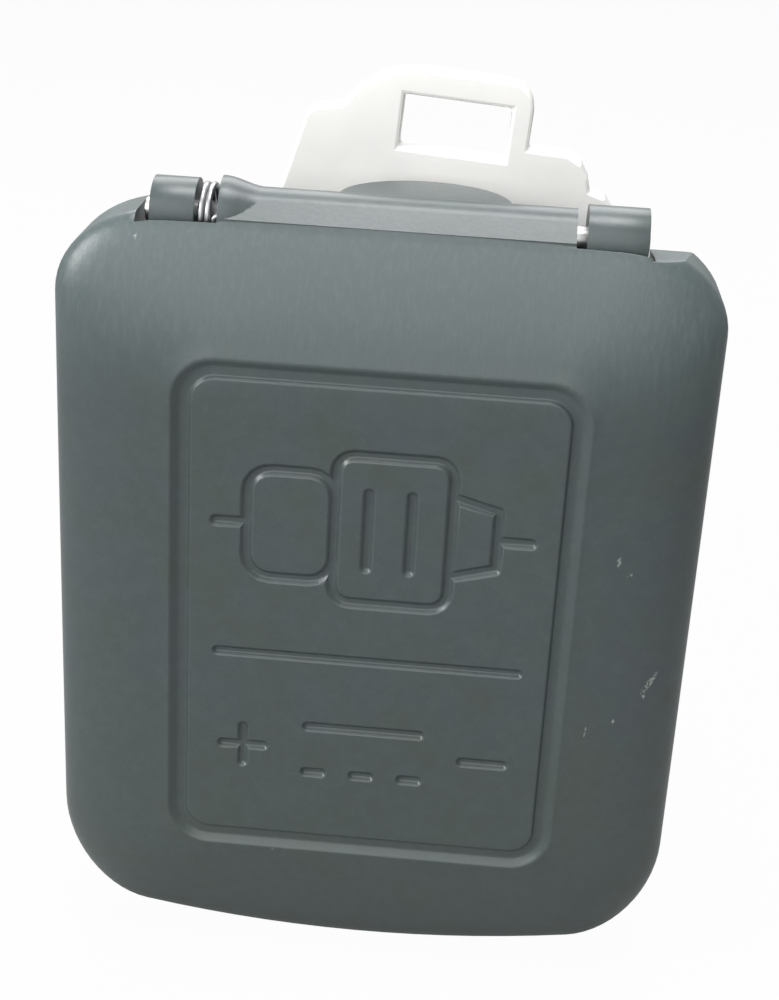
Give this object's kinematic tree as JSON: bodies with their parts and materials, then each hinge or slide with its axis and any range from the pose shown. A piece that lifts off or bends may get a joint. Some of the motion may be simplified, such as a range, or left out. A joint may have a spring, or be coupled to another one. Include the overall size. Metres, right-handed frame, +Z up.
{
  "type": "car 12v power socket",
  "caption": "Panel-mounted car power socket with a moulded case, a metal socket shell, a rear connector and a sprung hinged lid.",
  "frame": {"origin": "on the socket's axis at the plane of its mouth, which is the front of the case's flange", "axes": "-Y out of the socket's mouth, towards the user; +Z up, towards the hinge; +X to the right seen from the front"},
  "size_m": [0.0426, 0.0655, 0.0608],
  "materials": {
    "lid_plastic": "satin moulded plastic with a fine grain",
    "case_plastic": "satin moulded plastic",
    "bumper_rubber": "matt",
    "pin_steel": "drawn",
    "spring_steel": "drawn wire",
    "gasket_foam": "closed-cell foam",
    "white_nylon": "natural nylon, slightly translucent",
    "connector_nylon": "natural nylon",
    "plated_steel": "bright nickel plate",
    "insulator_board": "brown phenolic board",
    "contact_brass": "satin",
    "terminal_brass": "tinned brass"
  },
  "bodies": {
    "case": {"case": "case_plastic", "hinge_pin": "pin_steel", "lid_spring": "spring_steel", "flange_gasket": "gasket_foam", "retainer": "white_nylon", "socket_shell": "plated_steel", "inner_insulator": "insulator_board", "centre_contact": "contact_brass", "contact_stud": "plated_steel", "outer_insulator": "insulator_board", "spring_washer": "spring_steel", "contact_nut": "contact_brass", "positive_terminal": "terminal_brass", "ground_terminal": "terminal_brass", "ground_rivet": "plated_steel", "connector_housing": "connector_nylon"},
    "lid": {"lid": "lid_plastic", "lid_bumpers": "bumper_rubber"}
  },
  "joints": [
    {"name": "lid_hinge", "type": "hinge", "parent": "case", "child": "lid", "pos_m": [0, -0.0001, 0.0252], "axis": [-1, 0, 0], "range_deg": [0, 105], "stiffness_Nm_per_rad": 0.004, "springref_deg": -45.84, "deforming": ["lid_spring"]}
  ]
}
